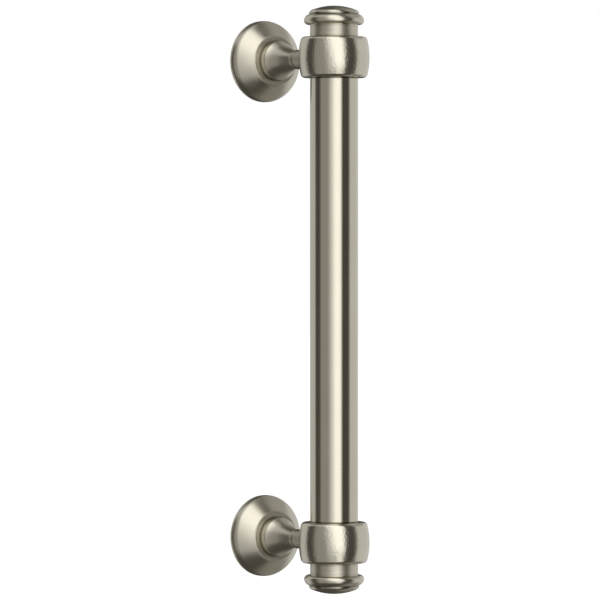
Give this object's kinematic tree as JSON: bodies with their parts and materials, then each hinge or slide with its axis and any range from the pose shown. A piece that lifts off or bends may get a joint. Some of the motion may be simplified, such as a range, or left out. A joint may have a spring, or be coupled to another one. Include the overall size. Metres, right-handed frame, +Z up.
{
  "type": "cabinet pull",
  "caption": "Traditional cabinet pull in satin nickel: a round bar held by barrel collars on trumpet posts with bevelled rosettes, and beaded domed caps at the bar's ends.",
  "frame": {"origin": "midway between the two fixing screws, on the mounting face at the backs of the rosettes", "axes": "+Z up along the bar, -Y out of the door towards the hand, +Y into the door along the fixing screws"},
  "size_m": [0.0218, 0.0419, 0.1552],
  "materials": {
    "brushed_nickel": "satin nickel plate on brass, brushed round the bar",
    "cast_nickel": "satin nickel plate on cast brass, faintly pebbled",
    "turned_nickel": "satin nickel plate on turned brass",
    "stud_steel": "zinc plated steel"
  },
  "bodies": {
    "root": {"bar": "brushed_nickel", "upper_post": "cast_nickel", "lower_post": "cast_nickel", "upper_rosette": "turned_nickel", "lower_rosette": "turned_nickel", "upper_cap": "turned_nickel", "lower_cap": "turned_nickel", "upper_stud": "stud_steel", "lower_stud": "stud_steel"}
  },
  "joints": []
}
